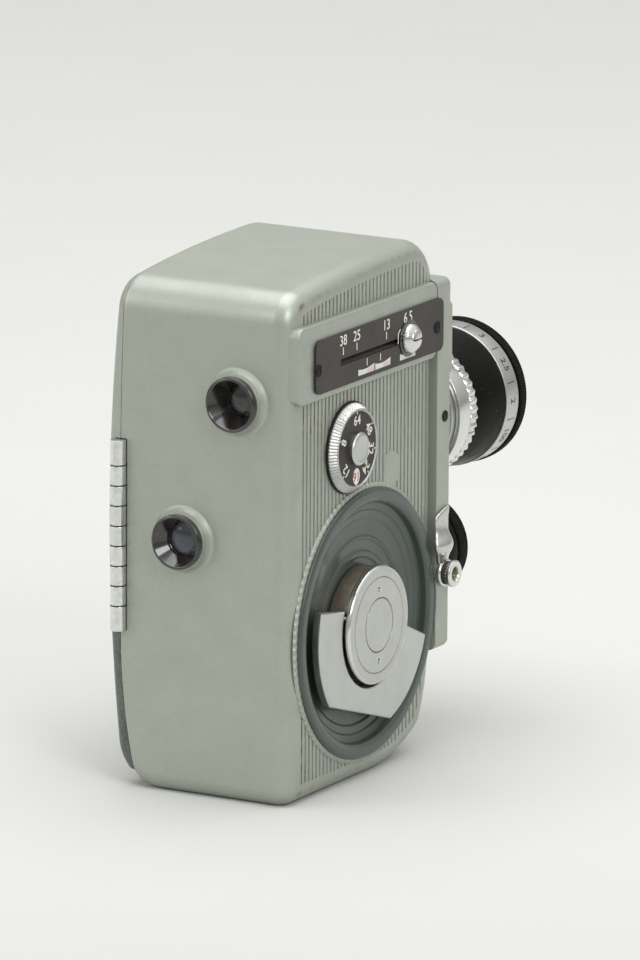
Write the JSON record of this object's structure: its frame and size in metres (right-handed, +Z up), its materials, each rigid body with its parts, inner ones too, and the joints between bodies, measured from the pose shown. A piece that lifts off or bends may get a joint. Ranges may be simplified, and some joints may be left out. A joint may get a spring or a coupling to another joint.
{
  "type": "clockwork cine camera",
  "caption": "Spring-wound double-8 cine camera with a two-lens turret, sliding zoom finder, speed dial, folding winding key and hinged film door.",
  "frame": {"origin": "centre of the tripod bush's mouth in the base, below the winding axis", "axes": "+X to the camera's own right (the control side), +Y forward along the lenses, +Z up"},
  "size_m": [0.0596, 0.1355, 0.1275],
  "materials": {
    "body_paint": "satin metallic grey-green paint",
    "panel_paint": "dark green-grey paint",
    "dish_paint": "satin dark green-grey enamel",
    "scale_black": "satin brown-black lacquer",
    "gloss_black": "polished black",
    "lens_black": "satin black anodised",
    "chrome": "polished chrome",
    "satin_silver": "fine satin silver",
    "steel": "plain steel",
    "brass": "turned brass",
    "blackened": "blackened steel",
    "spool_paint": "black lacquered spool",
    "glass": "coated glass"
  },
  "bodies": {
    "camera_body": {"body_shell": "body_paint", "front_plate": "body_paint", "finder_window_block": "body_paint", "finder_front_lens": "glass", "scale_plate": "scale_black", "scale_plate_screws": "blackened", "wind_dish": "dish_paint", "finder_eyepiece": "gloss_black", "finder_eyepiece_lens": "glass", "focus_eyepiece": "gloss_black", "focus_eyepiece_lens": "glass", "focus_tube": "blackened", "hinge_body_leaf": "chrome", "hinge_pin": "steel", "tripod_bush": "chrome", "release_socket": "chrome", "front_plate_screw": "steel", "finder_rail": "steel", "turret_pivot_screw": "chrome", "mechanism_plate": "blackened", "plate_screws": "steel", "train_bridge": "brass", "gate_plate": "steel", "film_guide_posts": "steel"},
    "door": {"door_shell": "body_paint", "door_panel": "panel_paint", "hinge_door_leaf": "chrome", "spool_springs": "steel"},
    "door_latch": {"latch_knob": "chrome"},
    "winding_key": {"wind_hub": "satin_silver", "hub_cap": "satin_silver", "handle_pivot_pins": "steel"},
    "key_handle": {"wind_handle": "satin_silver"},
    "speed_selector": {"speed_dial": "satin_silver", "speed_dial_knob": "chrome"},
    "zoom_slider": {"zoom_knob": "chrome", "zoom_carriage": "brass", "zoom_lens": "glass"},
    "turret": {"turret_plate": "satin_silver", "tele_mount": "satin_silver", "tele_outer_barrel": "lens_black", "standard_mount": "satin_silver"},
    "tele_aperture": {"tele_aperture_ring": "chrome"},
    "tele_focus": {"tele_focus_ring": "lens_black", "tele_front_lens": "glass"},
    "standard_aperture": {"standard_aperture_ring": "lens_black"},
    "standard_focus": {"standard_focus_ring": "lens_black", "standard_front_lens": "glass"},
    "release": {"release_lever": "chrome"},
    "film_pressure": {"pressure_plate": "steel"},
    "film_claw": {"claw": "steel"},
    "supply_reel": {"supply_spindle": "steel", "supply_spool": "spool_paint"},
    "takeup_reel": {"takeup_spindle": "steel", "takeup_spool": "spool_paint"},
    "spring_drum": {"spring_barrel": "brass", "mainspring": "steel"},
    "drive_train": {"drive_arbor": "brass"},
    "governor": {"governor_arbor": "brass"},
    "shutter_disc": {"shutter": "blackened"}
  },
  "joints": [
    {"name": "door_swing", "type": "hinge", "parent": "camera_body", "child": "door", "pos_m": [-0.0204, -0.037, 0.062], "axis": [0, 0, 1], "range_deg": [0, 110]},
    {"name": "latch_turn", "type": "hinge", "parent": "door", "child": "door_latch", "pos_m": [-0.025, 0.024, 0.066], "axis": [1, 0, 0], "range_deg": [-90, 0]},
    {"name": "key_turn", "type": "hinge", "parent": "camera_body", "child": "winding_key", "pos_m": [0.026, 0, 0.0384], "axis": [1, 0, 0], "continuous": true},
    {"name": "handle_fold", "type": "hinge", "parent": "winding_key", "child": "key_handle", "pos_m": [0.028, 0, 0.0384], "axis": [0, -0.9563, 0.2924], "range_deg": [0, 95]},
    {"name": "speed_turn", "type": "hinge", "parent": "camera_body", "child": "speed_selector", "pos_m": [0.026, -0.008, 0.083], "axis": [1, 0, 0], "range_deg": [0, 270]},
    {"name": "zoom_slide", "type": "slide", "parent": "camera_body", "child": "zoom_slider", "axis": [0, 1, 0], "range_m": [-0.0317, 0]},
    {"name": "turret_turn", "type": "hinge", "parent": "camera_body", "child": "turret", "pos_m": [0, 0.0417, 0.0575], "axis": [0, 1, 0], "continuous": true},
    {"name": "tele_aperture_turn", "type": "hinge", "parent": "turret", "child": "tele_aperture", "pos_m": [0, 0.068, 0.07515], "axis": [0, 1, 0], "range_deg": [-90, 0]},
    {"name": "tele_focus_turn", "type": "hinge", "parent": "turret", "child": "tele_focus", "pos_m": [0, 0.09, 0.07515], "axis": [0, 1, 0], "range_deg": [0, 270]},
    {"name": "standard_aperture_turn", "type": "hinge", "parent": "turret", "child": "standard_aperture", "pos_m": [0, 0.063, 0.03985], "axis": [0, 1, 0], "range_deg": [-90, 0]},
    {"name": "standard_focus_turn", "type": "hinge", "parent": "turret", "child": "standard_focus", "pos_m": [0, 0.071, 0.03985], "axis": [0, 1, 0], "range_deg": [0, 270]},
    {"name": "release_swing", "type": "hinge", "parent": "camera_body", "child": "release", "pos_m": [0.028, 0.0358, 0.0438], "axis": [1, 0, 0], "range_deg": [0, 14]},
    {"name": "pressure_lift", "type": "slide", "parent": "camera_body", "child": "film_pressure", "axis": [0, 1, 0], "range_m": [-0.0015, 0]},
    {"name": "claw_stroke", "type": "slide", "parent": "camera_body", "child": "film_claw", "axis": [0, 0, 1], "range_m": [-0.0032, 0.0006]},
    {"name": "supply_turn", "type": "hinge", "parent": "camera_body", "child": "supply_reel", "pos_m": [0, -0.008, 0.098], "axis": [1, 0, 0], "continuous": true},
    {"name": "drum_turn", "type": "hinge", "parent": "camera_body", "child": "spring_drum", "pos_m": [0.015, 0, 0.0384], "axis": [1, 0, 0], "continuous": true},
    {"name": "drive_turn", "type": "hinge", "parent": "camera_body", "child": "drive_train", "pos_m": [0.0095, 0.01408, 0.06489], "axis": [1, 0, 0], "continuous": true},
    {"name": "governor_turn", "type": "hinge", "parent": "camera_body", "child": "governor", "pos_m": [0.014, 0.01608, 0.07305], "axis": [1, 0, 0], "continuous": true},
    {"name": "shutter_turn", "type": "hinge", "parent": "camera_body", "child": "shutter_disc", "pos_m": [0.0092, 0.025, 0.07305], "axis": [0, 1, 0], "continuous": true},
    {"name": "takeup_turn", "type": "hinge", "parent": "camera_body", "child": "takeup_reel", "pos_m": [0, -0.008, 0.0324], "axis": [1, 0, 0], "continuous": true}
  ],
  "couplings": [
    {"joint": "drive_turn", "follows": "drum_turn", "ratio": -4},
    {"joint": "governor_turn", "follows": "drum_turn", "ratio": 10},
    {"joint": "shutter_turn", "follows": "drum_turn", "ratio": -30},
    {"joint": "takeup_turn", "follows": "drum_turn", "ratio": -1.5}
  ]
}
